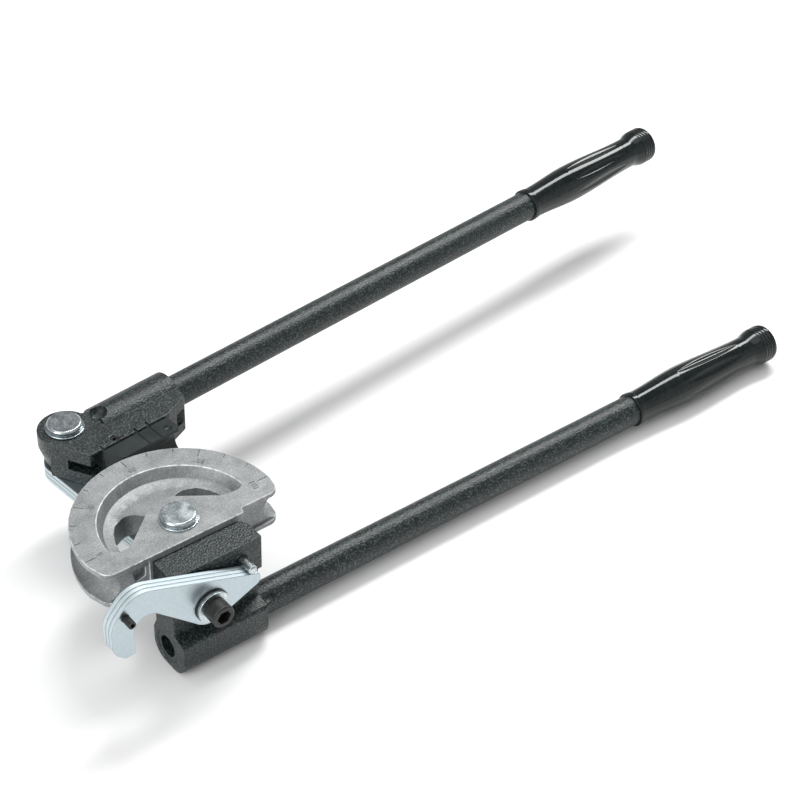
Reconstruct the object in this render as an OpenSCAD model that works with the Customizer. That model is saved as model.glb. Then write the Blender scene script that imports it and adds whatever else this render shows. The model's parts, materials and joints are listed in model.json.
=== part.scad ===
// Lever tube bender. A half-round grooved die is fixed to the lower handle's casting.
// A link under the die carries the upper lever, whose shoe rolls the tube round the die.
// A hinged hook on the casting's front holds the end of the tube.
// Origin: on the flat bottom of the handle socket, under the bend axis' line.
// +X runs along the fixed handle, +Z along the bend axis.

/* [Workpiece] */
// Outside diameter of the tube that the die bends
tube_od = 22; // [18:0.5:23]
// Bend radius at the tube's centreline
bend_r = 76; // [74:0.5:82]

/* [Layout] */
// Height of the groove's middle above the socket's flat bottom
groove_h = 80; // [78:0.5:90]
// Distance from the fixed handle's axis to the bend axis
axis_offset = 35; // [34:0.5:40]
// Distance between the die's pin and the lever's pin
link_len = 135; // [133:0.5:145]
// Bend angle at which the lever stands
shown_bend = 84.5; // [75:0.5:100]
// Gap between faces that move past each other
run_gap = 0.3; // [0.2:0.05:0.5]
// Radial clearance of a shaft that turns in a hole
fit_gap = 0.05; // [0.03:0.01:0.09]

/* [Die] */
// Thickness of the die
die_t = 31; // [28:0.5:34]
// Height of the rim above the tube's centreline
rim_over = 2; // [1:0.5:3]
// Distance from the bend axis to the die's flat
die_flat = 22; // [21:0.5:24]
// Clearance between the tube and its groove
groove_clear = 0.15; // [0.12:0.01:0.3]
// How far the flat is set back beyond the block
flat_step = 5; // [3:0.5:7]
// Width of the dial band round the top
dial_w = 20; // [18:0.5:24]
// Radius of the raised hub round the pin
hub_r = 24; // [20:0.5:26]
// Depth of the pocket in the top
pocket_depth = 11; // [10:0.5:13]
// How far the pocket's round wall leans in
wall_lean = 4.3; // [2:0.1:5]
// Width of the sloping ledge at the wall's foot
ledge_w = 9.5; // [5:0.5:11]
// Depth of the ledge at the wall's foot
ledge_depth = 8.5; // [7:0.5:9.5]
// Width of the floor outside the windows
window_rim = 7.5; // [6:0.5:9]
// Thickness of the flanges along the flat
flange_t = 4; // [3.8:0.1:4.2]
// How far the flat is set back between its flanges
set_back = 2.5; // [1.5:0.5:4]
// Angle between the dial's marks
dial_step = 15; // [15:15:45]
// Depth of the dial's marks
mark_depth = 0.4; // [0.2:0.1:0.6]
// Distance from the rim to the dial's marks
mark_edge = 1.6; // [1:0.1:3]
// Length of the dial's short marks
mark_l = 4; // [3:0.5:5]
// Length of the dial's long marks
long_mark_l = 7.5; // [6:0.5:9]

/* [Pins] */
// Diameter of the two hinge pins
pin_d = 19; // [16:0.5:20]
// Diameter of a pin's head
pin_head_d = 26.6; // [25:0.2:28]
// Height of a pin's head
pin_head_h = 4.5; // [3.5:0.5:6]
// Diameter of the washer under a pin's head
pin_washer_d = 29.5; // [29:0.5:34]
// Thickness of the washer under a pin's head
pin_washer_t = 1.2; // [0.8:0.1:2]
// Thickness of a pin's retaining clip
clip_t = 1.5; // [1:0.1:2]
// How far a retaining clip stands out of its pin
clip_out = 3; // [2:0.5:4]

/* [Link] */
// Thickness of one link plate
link_t = 4; // [3:0.25:4.5]
// Width of the link plates
link_w = 36; // [34:0.5:40]

/* [Casting] */
// Length of the handle socket
boss_l = 73; // [68:0.5:80]
// Height of the fixed handle's axis above the socket's bottom
axis_h = 17; // [16.5:0.5:20]
// Distance from the handle's axis to the socket's back face
boss_back = 17; // [16.5:0.5:19]
// Distance from the handle's axis to the socket's front face
boss_front = 22.5; // [21.5:0.5:23.5]
// Height of the socket's front face
boss_face_h = 32; // [31:0.5:34]
// Thickness of the wall between the socket and the block
web_t = 24; // [23:0.5:26]
// Overhang of the block past the socket's end
block_over = 3.5; // [1:0.5:5]
// Height of the block's overhanging end
block_end_h = 29.5; // [25:0.5:35]
// Height of the die's top above the block's top
block_drop = 5; // [3:0.5:8]
// Thickness of the lug under the link
lug_t = 12; // [10:0.5:14]

/* [Handles] */
// Outside diameter of the handle tubes
handle_d = 25.4; // [22:0.2:26]
// Wall of the handle tubes
handle_wall = 4; // [2:0.25:5]
// Distance from the bend axis to the fixed handle's grip
fixed_reach = 417; // [300:1:600]
// Distance from the lever's pin to its grip
lever_reach = 495; // [350:1:700]
// Length of the grips
grip_l = 159; // [140:1:180]
// Diameter of a grip at its palm swell
grip_d = 33; // [32:0.5:33.5]
// Diameter of a grip's collar and neck
grip_neck_d = 28.4; // [28.2:0.2:30]
// Diameter of the rings at a grip's end
grip_ring_d = 32.5; // [31:0.5:33]
// Thickness of a grip's closed end
grip_end_t = 6; // [4:0.5:12]
// Number of flutes round a grip
flutes = 8; // [4:1:10]
// Distance from a grip's collar end to the middle of its flutes
flute_at = 86; // [75:1:90]
// Depth of a flute at its middle
flute_depth = 1.4; // [1:0.1:1.6]

/* [Lever head] */
// Length of the head from its pin
head_l = 93.5; // [90:0.5:105]
// Radius of the head round its pin
head_r = 21; // [19.5:0.5:23]
// How far the shoe stands out of the head's front face
shoe_out = 16.5; // [15:0.5:18]
// Radius of the tube's socket on the head
socket_r = 19.5; // [18:0.5:21]
// Distance from the pin to where the tube's socket starts
socket_start = 25; // [24:0.5:32]
// Distance from the head's front face to the tube's axis
tube_back = 33.5; // [33:0.5:36]
// Gap between the shoe's face and the die's rim
shoe_gap = 2; // [1:0.5:3]
// Distance from the pin to the shoe's near end
shoe_start = 6; // [4:0.5:10]
// Length of the shoe
shoe_l = 60; // [50:1:64]
// Height of the shoe's tongue
tongue_h = 9; // [7:0.5:10]
// Depth of the shoe's tongue in the head
tongue_d = 14; // [10:0.5:15]
// Diameter of the pin that holds the shoe
shoe_pin_d = 6; // [4:0.5:7]

/* [Hook] */
// Distance from the bend axis to the hook's pivot, along the handle
hook_x = 13; // [10:0.5:18]
// Distance from the hook's pivot to the middle of its mouth
mouth_x = 51.5; // [50:0.5:54]
// Height of the mouth's middle above the pivot
mouth_h = 8.5; // [7:0.5:10]
// Distance from the pivot to the end of the tail
tail_l = 43.5; // [41:0.5:46]
// Height of the tail's end above the pivot
tail_h = 6; // [5:0.5:7]
// Distance from the pivot to the hook's shoulder
shoulder_x = 61; // [58:0.5:64]
// Height of the hook's shoulder above the pivot
shoulder_h = 46; // [44:0.5:48]
// Distance from the mouth's middle to the hook's nose
nose_w = 29; // [27:0.5:31]
// Height of the nose's round above the pivot
nose_h = 24; // [22:0.5:26]
// Depth of the hook's tip below the pivot
tip_h = 11; // [10:0.5:12.5]
// Distance from the mouth's middle to the hook's tip
tip_x = 18.5; // [17.5:0.5:20]
// Distance from the mouth's middle to the lifting pin
lift_pin_x = 17.5; // [17:0.5:19]
// Height of the lifting pin above the pivot
lift_pin_h = 27.5; // [26:0.5:29]
// Height of the hook's pivot above the socket's bottom
hook_h = 64.5; // [62:0.5:68]
// Thickness of one hook plate
hook_t = 4; // [3:0.25:4.5]
// Outside diameter of the hook's sleeve
sleeve_d = 16; // [15:0.5:18]
// Thread diameter of the hook's screw
screw_d = 12; // [10:1:12]
// Depth of the screw in the casting
screw_depth = 18; // [14:0.5:20]
// Diameter of the washers at the hook's pivot
hook_washer_d = 26; // [24:0.5:28]
// Thickness of the washer under the screw's head
hook_washer_t = 2.5; // [1.5:0.25:3]
// Thickness of the spring ring and of the washer behind the hook
thin_washer_t = 1.2; // [0.8:0.1:2]
// Diameter of the hook's lifting pin
lift_pin_d = 6; // [4:0.5:7]
// How far the lifting pin stands out of the hook
lift_pin_out = 9; // [6:0.5:14]
// Diameter of the stop pin over the hook's tail
stop_pin_d = 7; // [5:0.5:8]
// How far the stop pin stands out of the block
stop_pin_out = 14.5; // [13:0.5:22]
// Depth of the stop pin in the block
stop_pin_depth = 12; // [8:0.5:16]

/* [Hidden] */
$fn = 96;
eps = 0.01;
dark = "#353b39";
shoe_black = "#232625";
grip_black = "#151716";
alloy = "#b4b3b0";
zinc = "#cfd6da";
black_oxide = "#2a2a2a";

// Heights
die_bottom = groove_h - die_t/2;
die_top = groove_h + die_t/2;
link_top = die_bottom - run_gap;
link_bottom = link_top - 3*link_t;
lug_top = link_bottom - run_gap;
lug_bottom = lug_top - lug_t;
block_top = die_top - block_drop;

// Places across the handle
flat_y = axis_offset - die_flat;
web_front = flat_y - web_t;
hook_seat = web_front - thin_washer_t;
hook_back = hook_seat - run_gap;
hook_face = hook_back - 3*hook_t;
sleeve_end = hook_face - run_gap;
washer_seat = sleeve_end - thin_washer_t;
screw_seat = washer_seat - hook_washer_t;

// Radii round the bend axis
rim_r = bend_r + rim_over;
groove_r = tube_od/2 + groove_clear;
pocket_r = rim_r - dial_w;

// Places across the lever, inside the pin's line: the head's depth follows the link
shoe_face = link_len - rim_r - shoe_gap;
head_front = shoe_face - shoe_out;
tube_inset = head_front - tube_back;

pin_r = pin_d/2;
pin_bore_r = pin_r + fit_gap;
clip_groove = 1;
pose = 90 - shown_bend;
bore_r = handle_d/2 - handle_wall;
grip_wall_gap = 0.02;
block_left = -boss_l/2;
block_right = boss_l/2 + block_over;
screw_head_d = 1.5*screw_d;
hex_af = 0.83*screw_d;

// Rounded polygon: each point is [x, y, corner radius]
function unit(v) = v/norm(v);
function xy(p) = [p[0], p[1]];
function corner(a, b, c, r, n) =
    r == 0 ? [b] :
    let (d = unit(a - b), e = unit(c - b), half = acos(d*e)/2)
    let (mid = b + unit(d + e)*r/sin(half), s = b + d*r/tan(half) - mid, t = b + e*r/tan(half) - mid)
    let (from = atan2(s[1], s[0]), sweep = (atan2(t[1], t[0]) - from + 540)%360 - 180)
    [for (i = [0:n]) mid + r*[cos(from + sweep*i/n), sin(from + sweep*i/n)]];
function rounded(p, n = 8) =
    let (k = len(p))
    [for (i = [0:k - 1]) each corner(xy(p[(i + k - 1)%k]), xy(p[i]), xy(p[(i + 1)%k]), p[i][2], n)];

module at_bend_axis() translate([0, axis_offset, 0]) children();
module at_lever() at_bend_axis() rotate(pose) translate([0, link_len, 0]) children();
module at_hook_pivot(y) translate([-hook_x, y, hook_h]) rotate([90, 0, 0]) children();
// A cylinder along X
module rod(x0, x1, r) translate([x0, 0, 0]) rotate([0, 90, 0]) cylinder(h = x1 - x0, r = r);
// An outline across the handle, in y and z, drawn out along X
module along_x(x0, x1) translate([x0, 0, 0]) rotate([90, 0, 90]) linear_extrude(x1 - x0) children();

// Casting with the handle's socket, the block behind the hook and the lug under the link

socket_outline = rounded([
    [boss_back, 0, 14], [boss_back, 25, 3], [flat_y, boss_face_h + 2, 0],
    [web_front, boss_face_h + 3, 0], [-boss_front, boss_face_h, 3], [-boss_front, 0, 15]]);
block_outline = rounded([
    [block_left, flat_y, 0], [block_left, web_front, 1.5],
    [block_right, web_front, 1.5], [block_right, flat_y, 9]]);
web_outline = rounded([
    [block_left, flat_y, 0], [block_left, web_front, 1.5],
    [boss_l/2, web_front, 1.5], [boss_l/2, flat_y, 9]]);
lug_r = pin_washer_d/2 + 3;

module lug() {
    at_bend_axis() cylinder(h = lug_t, r = lug_r);
    translate([-lug_r, flat_y - 2, 0]) cube([2*lug_r, die_flat + 2, lug_t]);
}

module stop_pin_hole(r, y0, y1)
    translate([stop_x, -y0, stop_z]) rotate([90, 0, 0]) cylinder(h = y1 - y0, r = r);

module body_casting() color(dark) difference() {
    union() {
        along_x(-boss_l/2, boss_l/2) polygon(socket_outline);
        translate([0, 0, axis_h]) linear_extrude(block_top - block_end_h - axis_h + eps) polygon(web_outline);
        translate([0, 0, block_top - block_end_h]) linear_extrude(block_end_h) polygon(block_outline);
        translate([0, 0, lug_bottom]) lug();
    }
    translate([0, 0, axis_h]) rod(-boss_l/2 - 1, boss_l/2 + 1, handle_d/2);
    at_bend_axis() translate([0, 0, lug_bottom - 1]) cylinder(h = lug_t + 2, r = pin_bore_r);
    at_hook_pivot(web_front + screw_depth) cylinder(h = screw_depth + 1, r = screw_d/2);
    stop_pin_hole(stop_pin_d/2, -web_front - stop_pin_depth, -web_front + 1);
}

// Handles

module handle_tube(x0, x1) difference() {
    rod(x0, x1, handle_d/2);
    rod(x0 - 1, x1 + 1, bore_r);
}

tube_stop = grip_l - grip_end_t;
// The fixed tube has a stake mark beside its socket
dent_r = 6;
dent_depth = min(2.2, handle_wall - 0.8);
module lower_tube() color(dark) translate([0, 0, axis_h]) difference() {
    handle_tube(-boss_l/2 + 0.8, fixed_reach + tube_stop);
    rotate([45, 0, 0]) translate([boss_l/2 + dent_r + 3, 0, handle_d/2 + dent_r - dent_depth]) sphere(r = dent_r);
}

module at_upper_tube() at_lever() translate([0, -tube_inset, groove_h]) children();
module upper_tube() color(dark) at_upper_tube()
    handle_tube(socket_start + 8, lever_reach + tube_stop);

// Half outline of a grip, as [distance along, radius]
collar_l = 5;
ring_pitch = 4;
ring_r = grip_ring_d/2;
neck_r = grip_neck_d/2;
swell_r = grip_d/2;
swell_at = 0.42;
flare_l = 26;
function swell(t) = t < swell_at ? 0.5 - 0.5*cos(180*t/swell_at) : 0.5 + 0.5*cos(180*(t - swell_at)/(1 - swell_at));
body_x0 = collar_l + 1;
body_x1 = grip_l - flare_l;
rings_x0 = grip_l - 4*ring_pitch;
function grip_r(x) = neck_r - 0.4 + (swell_r - neck_r + 0.4)*swell((x - body_x0)/(body_x1 - body_x0));
grip_outline = concat(
    [[0, handle_d/2 + grip_wall_gap], [0, neck_r + 0.3], [collar_l, neck_r + 0.3], [body_x0, neck_r - 0.4]],
    [for (i = [1:14]) let (x = body_x0 + (body_x1 - body_x0)*i/15) [x, grip_r(x)]],
    [for (i = [0:6]) let (t = i/6) [body_x1 + (rings_x0 - body_x1)*t, neck_r - 0.4 + (ring_r - neck_r)*t*t]],
    [for (k = [0:2], q = [[0.15, 0], [0.85, 0], [0.9, -0.5], [1.1, -0.5]])
        [rings_x0 + ring_pitch*(k + q[0]), ring_r + q[1]]],
    [for (i = [0:6]) [grip_l - ring_pitch*(1 - sin(15*i)), ring_r - 5*(1 - cos(15*i))]],
    [[grip_l, 0], [tube_stop, 0], [tube_stop, handle_d/2 + grip_wall_gap]]);

// A flute is a stretch of a thin, wide torus laid along the grip's slope
flute_r = 3.4;
flute_bow = 700;
flute_sweep = 6.6;
flute_tilt = atan((grip_r(flute_at - 5) - grip_r(flute_at + 5))/10);
module grip() difference() {
    rotate([0, 90, 0]) rotate_extrude() polygon([for (p = grip_outline) [p[1], p[0]]]);
    for (i = [0:flutes - 1]) rotate([360*i/flutes, 0, 0])
        translate([flute_at, 0, grip_r(flute_at)]) rotate([0, flute_tilt, 0])
            translate([0, 0, flute_r - flute_depth + flute_bow]) rotate([90, 0, 0])
                rotate(-90 - flute_sweep/2) rotate_extrude(angle = flute_sweep, $fn = 1440)
                    translate([flute_bow, 0]) circle(r = flute_r, $fn = 24);
}

module lower_grip() color(grip_black) translate([fixed_reach, 0, axis_h]) grip();
module upper_grip() color(grip_black) at_upper_tube() translate([lever_reach, 0, 0]) grip();

// Forming die

flat_step_x = block_right + 1;
corner_r = 9;
plan_far = rim_r + 10;
die_plan = rounded([
    [-plan_far, plan_far, 0], [-rim_r - 1, 0, 0], [-sqrt(rim_r^2 - die_flat^2) + 2, -die_flat, corner_r],
    [flat_step_x, -die_flat, 1.5], [flat_step_x + 2, flat_step - die_flat, 1.5],
    [sqrt(rim_r^2 - (die_flat - flat_step)^2) - 1, flat_step - die_flat, corner_r], [rim_r + 1, 2, 0],
    [plan_far, plan_far, 0]]);
// Raised middle: the hub runs out to the flat in a hollow curve on each side
hub_from = 140;
hub_to = 57;
hub_left = hub_r*[cos(hub_from), sin(hub_from)];
hub_right = hub_r*[cos(hub_to), sin(hub_to)];
strip_left = -5;
strip_right = 1;
platform = rounded(concat(
    [[-pocket_r - 5, -die_flat - 5, 0], [-pocket_r - 5, strip_left, 0],
        [hub_left[0] - (hub_left[1] - strip_left)*1.22, strip_left, 12]],
    [for (i = [0:16]) let (a = hub_from + (hub_to - hub_from)*i/16) [hub_r*cos(a), hub_r*sin(a), 0]],
    [[hub_right[0] + (hub_right[1] - strip_right)*1.45, strip_right, 8],
        [pocket_r + 5, strip_right, 0], [pocket_r + 5, -die_flat - 5, 0]]));
// Windows through the web, from the hub out to a round edge
window_r = pocket_r - wall_lean - window_rim;
function ring_point(r, a, round) = [r*cos(a), r*sin(a), round];
function window(strip) = rounded(concat(
    [[-window_r, strip - 1, 5.5]],
    [for (a = [172:-4:144]) ring_point(window_r, a, 0)],
    [ring_point(window_r, 140, 6), ring_point(window_r - 3.5, 121, 10), ring_point(hub_r - 1, 108, 0),
        ring_point(hub_r/2, 140, 0), [-hub_r/2, strip - 1, 0]]));

// Fills the pocket's sharp end between its round wall and the strip, leaving a round of radius r
module pocket_end(strip, r, h) {
    cy = strip + r;
    cx = sqrt((pocket_r + 1 - r)^2 - cy^2);
    out = (pocket_r + 3)/(pocket_r + 1 - r);
    difference() {
        linear_extrude(h) polygon([[cx, cy], [cx, strip - 1], [pocket_r + 3, strip - 1], [cx*out, cy*out]]);
        translate([cx, cy, -1]) cylinder(h = h + 2, r = r);
    }
}

module raised_middle(h) {
    linear_extrude(h) polygon(platform);
    mirror([1, 0, 0]) pocket_end(strip_left, 9, h);
    pocket_end(strip_right, 7, h);
}

module die_pocket() difference() {
    translate([0, 0, die_top]) rotate_extrude() polygon([
        [0, -pocket_depth], [pocket_r - wall_lean - ledge_w, -pocket_depth],
        [pocket_r - wall_lean, -ledge_depth], [pocket_r, 0],
        [pocket_r + wall_lean/ledge_depth, 1], [0, 1]]);
    translate([0, 0, die_top - pocket_depth - 1]) raised_middle(pocket_depth + 3);
}

module windows() difference() {
    translate([0, 0, die_bottom - 1]) {
        linear_extrude(die_t) polygon(window(strip_left));
        mirror([1, 0, 0]) linear_extrude(die_t) polygon(window(strip_right));
    }
    translate([0, 0, die_bottom - 2]) linear_extrude(die_t + 4) polygon(platform);
}

// The flat is set back between its flanges, on both sides of the block
rib = 2.5;
module flat_set_back() translate([0, 0, die_bottom + flange_t]) {
    translate([-rim_r, -die_flat - 1, 0]) cube([rim_r + block_left - rib, 1 + set_back, die_t - 2*flange_t]);
    translate([flat_step_x + 2 + rib, flat_step - die_flat - 1, 0])
        cube([rim_r, 1 + set_back, die_t - 2*flange_t]);
}

mark_w = 0.7;
module dial_marks() for (a = [0:dial_step:180]) {
    l = a%45 == 0 ? long_mark_l : mark_l;
    rotate(a) translate([rim_r - mark_edge - l, -mark_w/2, die_top - mark_depth]) cube([l, mark_w, 1]);
}

// The groove's mouth opens slightly, so that the tube drops in
groove_mouth = [
    [bend_r, groove_r - 0.25], [rim_r + 1, groove_r + 0.05], [rim_r + 1, -groove_r - 0.05], [bend_r, 0.25 - groove_r]];
flat_pocket = rounded([[3, 0, 1.5], [11, 2, 1.5], [11, 11, 1.5], [0, 11, 1.5]]);
module forming_die() color(alloy) at_bend_axis() difference() {
    intersection() {
        difference() {
            translate([0, 0, die_bottom]) cylinder(h = die_t, r = rim_r);
            translate([0, 0, groove_h]) rotate_extrude() translate([bend_r, 0]) circle(r = groove_r);
            translate([0, 0, groove_h]) rotate_extrude() polygon(groove_mouth);
        }
        translate([0, 0, die_bottom]) linear_extrude(die_t) polygon(die_plan);
    }
    die_pocket();
    dial_marks();
    windows();
    flat_set_back();
    translate([block_left - rib - 13, set_back + 4 - die_flat, groove_h - 4]) rotate([90, 0, 0])
        linear_extrude(set_back + 5) polygon(flat_pocket);
    translate([0, 0, die_bottom - 1]) cylinder(h = die_t + 2, r = pin_bore_r);
}

// Hinge pins with their washers and clips

module headed_pin(head_seat, clip_top) difference() {
    union() {
        translate([0, 0, head_seat]) rotate_extrude() polygon([
            [0, 0], [pin_head_d/2 - 0.8, 0], [pin_head_d/2, 0.8], [pin_head_d/2, pin_head_h - 1.2],
            [pin_head_d/2 - 1.2, pin_head_h], [0, pin_head_h]]);
        translate([0, 0, clip_top - clip_t - 3]) cylinder(h = head_seat - clip_top + clip_t + 3 + eps, r = pin_r);
    }
    translate([0, 0, clip_top - clip_t]) difference() {
        cylinder(h = clip_t, r = pin_r + 1);
        translate([0, 0, -1]) cylinder(h = clip_t + 2, r = pin_r - clip_groove);
    }
}
module pin_washer(z) translate([0, 0, z]) difference() {
    cylinder(h = pin_washer_t, r = pin_washer_d/2);
    translate([0, 0, -1]) cylinder(h = pin_washer_t + 2, r = pin_bore_r);
}
clip_gap_w = 0.8*pin_d;
module pin_clip(top) translate([0, 0, top - clip_t]) difference() {
    cylinder(h = clip_t, r = pin_r + clip_out);
    translate([0, 0, -1]) cylinder(h = clip_t + 2, r = pin_r - clip_groove);
    translate([0, -clip_gap_w/2, -1]) cube([pin_r + clip_out + 1, clip_gap_w, clip_t + 2]);
}

module die_pin() color(zinc) at_bend_axis() headed_pin(die_top + pin_washer_t, lug_bottom);
module die_pin_washer() color(zinc) at_bend_axis() pin_washer(die_top);
module die_pin_clip() color(black_oxide) at_bend_axis() pin_clip(lug_bottom);

head_seat = die_top + run_gap;
module head_pin() color(zinc) at_lever() headed_pin(head_seat + pin_washer_t, link_bottom);
module head_pin_washer() color(zinc) at_lever() pin_washer(head_seat);
module head_pin_clip() color(black_oxide) at_lever() pin_clip(link_bottom);

// Link of three plates under the die and the lever's head

module link_plate(level) color(zinc) at_bend_axis() rotate(pose)
    translate([0, 0, link_top - (level + 1)*link_t]) difference() {
        union() {
            cylinder(h = link_t, r = link_w/2);
            translate([0, link_len, 0]) cylinder(h = link_t, r = link_w/2);
            translate([-link_w/2, 0, 0]) cube([link_w, link_len, link_t]);
        }
        for (y = [0, link_len]) translate([0, y, -1]) cylinder(h = link_t + 2, r = pin_bore_r);
    }
module link_plate_top() link_plate(0);
module link_plate_middle() link_plate(1);
module link_plate_bottom() link_plate(2);

// Lever's head: pivot boss, tube socket and the flat plate over the shoe

head_bottom = die_bottom;
head_top = die_top;
head_h = head_top - head_bottom;
shoe_end = shoe_start + shoe_l;
plate_outline = rounded([
    [-head_r*sin(70), -head_r*cos(70), 0], [-5, -head_front, 2], [shoe_end + 2, -head_front, 3],
    [head_l - 3, -head_front + 8, 5], [head_l, -head_front + 22, 3], [head_l, 8 - tube_inset, 3],
    [socket_start, 8 - tube_inset, 0], [0, head_r, 0]]);
taper_h = 18;
taper_in = 5.5;
end_pocket = rounded([[0, 0, 2], [13, 0, 2], [13, 13, 2], [0, 13, 2]]);
index_marks = [shoe_start + 32, shoe_start + 43];
mark_slot = 1.2;
near_slot = 4;
pin_hole_u = shoe_start + 14.5;
pin_hole_v = tongue_d/2 - 2 - head_front;

module head_casting() color(dark) at_lever() difference() {
    union() {
        translate([0, 0, head_bottom]) linear_extrude(head_h) polygon(plate_outline);
        translate([0, 0, head_bottom + taper_h]) cylinder(h = head_h - taper_h, r = head_r);
        translate([0, 0, head_bottom]) cylinder(h = taper_h, r1 = head_r - taper_in, r2 = head_r);
        translate([0, -tube_inset, groove_h]) rod(socket_start, head_l, socket_r);
    }
    // Under the socket the casting is level with its bottom
    translate([0, -tube_inset - socket_r - 1, head_bottom - socket_r])
        cube([head_l + 1, 2*socket_r + 2, socket_r]);
    translate([0, 0, head_bottom - 1]) cylinder(h = head_h + 2, r = pin_bore_r);
    translate([0, -tube_inset, groove_h]) rod(socket_start + 8, head_l + 1, handle_d/2);
    // Slot for the shoe's tongue, deeper where it leaves through the near wall
    translate([0, -head_front - 10, groove_h - tongue_h/2]) cube([shoe_end, tongue_d + 10, tongue_h]);
    translate([-head_r - 10, -head_front - 10, groove_h - tongue_h/2])
        cube([head_r + 10 + shoe_start, tongue_d + 10 + near_slot, tongue_h]);
    translate([-2, -head_front - 1, groove_h - tongue_h/2])
        cube([shoe_start + 2, 9, head_top - 2.5 - groove_h + tongue_h/2]);
    // Marks in the plate's front edge, over the shoe's lines
    for (u = concat([shoe_start + 1], index_marks))
        translate([u - mark_slot/2, -head_front - 1, head_top - 1.5]) cube([mark_slot, 5.5, 2]);
    translate([pin_hole_u, pin_hole_v, groove_h]) cylinder(h = head_h, r = shoe_pin_d/2);
    translate([pin_hole_u, pin_hole_v, groove_h - tongue_h/2 - 6]) cylinder(h = 10, r = shoe_pin_d/2);
    // Dimple where the socket starts
    translate([socket_start + 2, -tube_inset, head_top + 4.5]) sphere(r = 7.5);
    // Hollow in the slanted end
    translate([head_l - 17, -head_front - 2, groove_h - 7]) rotate([90, 0, 70]) linear_extrude(12) polygon(end_pocket);
}

line_w = 0.8;
shoe_top = head_top - 2;
shoe_bottom = head_bottom + 2;
tongue_gap = 0.02;
shoe_plan = rounded([
    [shoe_start, -head_front, 0], [shoe_start + 7, -shoe_face, 3],
    [shoe_end, -shoe_face, 2], [shoe_end, -head_front, 0]]);
module shoe() color(shoe_black) at_lever() difference() {
    union() {
        translate([0, 0, shoe_bottom]) linear_extrude(shoe_top - shoe_bottom) polygon(shoe_plan);
        translate([shoe_start, -head_front - 1, groove_h - tongue_h/2 + tongue_gap])
            cube([shoe_l - tongue_gap, tongue_d + 1 - tongue_gap, tongue_h - 2*tongue_gap]);
    }
    translate([0, bend_r - link_len, groove_h]) rod(shoe_start - 1, shoe_end + 1, groove_r);
    for (u = index_marks) translate([u - line_w/2, -shoe_face - 1, shoe_top - 0.5])
        cube([line_w, shoe_face - head_front + 1, 1]);
    translate([shoe_end - 7, -shoe_face + 6, shoe_top + 2.2]) sphere(r = 4);
    translate([pin_hole_u, pin_hole_v, groove_h - tongue_h]) cylinder(h = 2*tongue_h, r = shoe_pin_d/2);
}

shoe_pin_sink = 1.2;
shoe_pin_bottom = groove_h - tongue_h/2 - 6;
module spring_pin(d, l) difference() {
    cylinder(h = l, r = d/2);
    translate([0, 0, -1]) cylinder(h = l + 2, r = 0.26*d);
    translate([0, -0.07*d, -1]) cube([d, 0.14*d, l + 2]);
}
module shoe_pin() color(black_oxide) at_lever() translate([pin_hole_u, pin_hole_v, shoe_pin_bottom])
    spring_pin(shoe_pin_d, head_top - shoe_pin_sink - shoe_pin_bottom);

// Hook of three plates, in x and z from its pivot. The mouth fits round the tube.

mouth_r = tube_od/2 + 0.5;
mouth_c = [-mouth_x, mouth_h];
tail_end = [tail_l, tail_h];
nose_top = [-shoulder_x, shoulder_h];
nose_out = mouth_c[0] - nose_w;
lobe_r = hook_washer_d/2 + 4.3;
hook_edge = rounded([
    [tail_end[0], tail_end[1], 4], [nose_top[0], nose_top[1], 20], [nose_out, nose_h, 22], [nose_out, 9 - tip_h, 16],
    [mouth_c[0] - tip_x, -tip_h, 6], [mouth_c[0] - mouth_r + 2, 2 - tip_h, 4],
    [mouth_c[0] - mouth_r, mouth_c[1] - 6, 0],
    [mouth_c[0], mouth_c[1] - 6, 0], [-lobe_r*cos(45), -lobe_r*sin(45), 0], [lobe_r*cos(70), -lobe_r*sin(70), 0],
    [tail_end[0] - 3, -1.5, 4]]);
// Open side of the mouth, below and towards the pivot
mouth_open = rounded([
    [mouth_c[0] - mouth_r, mouth_c[1], 0], [mouth_c[0] - mouth_r + 1, -3*tip_h, 0], [-14, -3*tip_h, 0],
    [-lobe_r*cos(45), -lobe_r*sin(45), 0],
    [mouth_c[0] + mouth_r*cos(45), mouth_c[1] + mouth_r*sin(45), 0], [mouth_c[0], mouth_c[1], 0]]);
lift_pin_at = [mouth_c[0] - lift_pin_x, lift_pin_h];

module hook_plate(y) color(zinc) at_hook_pivot(y) difference() {
    union() {
        linear_extrude(hook_t) polygon(hook_edge);
        cylinder(h = hook_t, r = lobe_r);
    }
    translate([mouth_c[0], mouth_c[1], -1]) cylinder(h = hook_t + 2, r = mouth_r);
    translate([0, 0, -1]) linear_extrude(hook_t + 2) polygon(mouth_open);
    translate([0, 0, -1]) cylinder(h = hook_t + 2, r = sleeve_d/2 + fit_gap);
    translate([lift_pin_at[0], lift_pin_at[1], -1]) cylinder(h = hook_t + 2, r = lift_pin_d/2);
}
module hook_plate_back() hook_plate(hook_back);
module hook_plate_middle() hook_plate(hook_back - hook_t);
module hook_plate_front() hook_plate(hook_back - 2*hook_t);

// Pivot of the hook

module pivot_ring(y, d, hole, t) at_hook_pivot(y) difference() {
    cylinder(h = t, r = d/2);
    translate([0, 0, -1]) cylinder(h = t + 2, r = hole/2);
}
module hook_sleeve() color(zinc)
    pivot_ring(hook_seat, sleeve_d, screw_d + 2*fit_gap, hook_seat - sleeve_end);
module hook_back_washer() color(zinc)
    pivot_ring(web_front, hook_washer_d, screw_d + 2*fit_gap, thin_washer_t);
module hook_spring_washer() color(black_oxide)
    pivot_ring(sleeve_end, hook_washer_d + 1, screw_d + 2*fit_gap, thin_washer_t);
module hook_washer() color(zinc)
    pivot_ring(washer_seat, hook_washer_d, screw_d + 2*fit_gap, hook_washer_t);

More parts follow.
